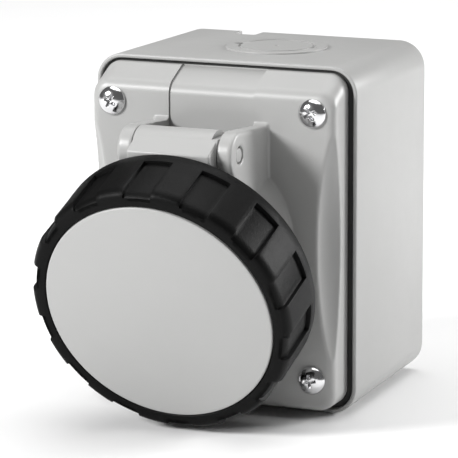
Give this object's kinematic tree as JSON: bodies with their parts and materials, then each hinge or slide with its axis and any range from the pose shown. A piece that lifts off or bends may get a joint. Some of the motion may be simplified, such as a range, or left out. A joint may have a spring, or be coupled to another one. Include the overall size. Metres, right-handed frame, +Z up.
{
  "type": "surface-mounted appliance inlet box",
  "caption": "Wall box with a dished cover, a tilted round-pin power inlet and a hinged screw-down lid locked by a black bayonet ring.",
  "frame": {"origin": "centre of the back face of the wall box, on the wall", "axes": "+X to the right seen from the front, +Y into the wall, +Z up; the inlet faces -Y and leans down"},
  "size_m": [0.092, 0.136, 0.1153],
  "materials": {
    "pale_plastic": "fine satin moulding, light grey",
    "pale_plastic_cover": "fine satin moulding, light grey",
    "pale_plastic_lid": "fine satin moulding, light grey",
    "pale_plastic_pin": "satin moulding, light grey",
    "black_plastic": "satin black moulding",
    "carrier_plastic": "dull dark grey moulding",
    "seal_rubber": "dull black rubber",
    "chrome_screw": "bright plated steel",
    "steel_screw": "zinc-plated steel",
    "brass_insert": "turned brass",
    "plated_brass": "nickel-plated brass"
  },
  "bodies": {
    "enclosure": {"back_box": "pale_plastic", "box_gasket": "seal_rubber", "front_cover": "pale_plastic_cover", "cover_screws": "chrome_screw", "cover_inserts": "brass_insert", "hinge_pin": "pale_plastic_pin", "contact_carrier": "carrier_plastic", "carrier_gasket": "seal_rubber", "carrier_screws": "steel_screw", "pin_retainer": "carrier_plastic", "retainer_screws": "steel_screw", "line_pins": "plated_brass", "neutral_pin": "plated_brass", "earth_pin": "plated_brass", "line_terminal_screws": "steel_screw", "earth_terminal_screw": "steel_screw", "mating_seal": "seal_rubber"},
    "lid_unit": {"lid": "pale_plastic_lid", "lid_gasket": "seal_rubber"},
    "ring": {"bayonet_ring": "black_plastic"}
  },
  "joints": [
    {"name": "lid_hinge", "type": "hinge", "parent": "enclosure", "child": "lid_unit", "pos_m": [0, -0.10147, 0.03322], "axis": [-1, 0, 0], "range_deg": [0, 110]},
    {"name": "ring_turn", "type": "hinge", "parent": "lid_unit", "child": "ring", "pos_m": [0, -0.10857, -0.01044], "axis": [0, 0.9397, 0.342], "range_deg": [0, 45]}
  ]
}
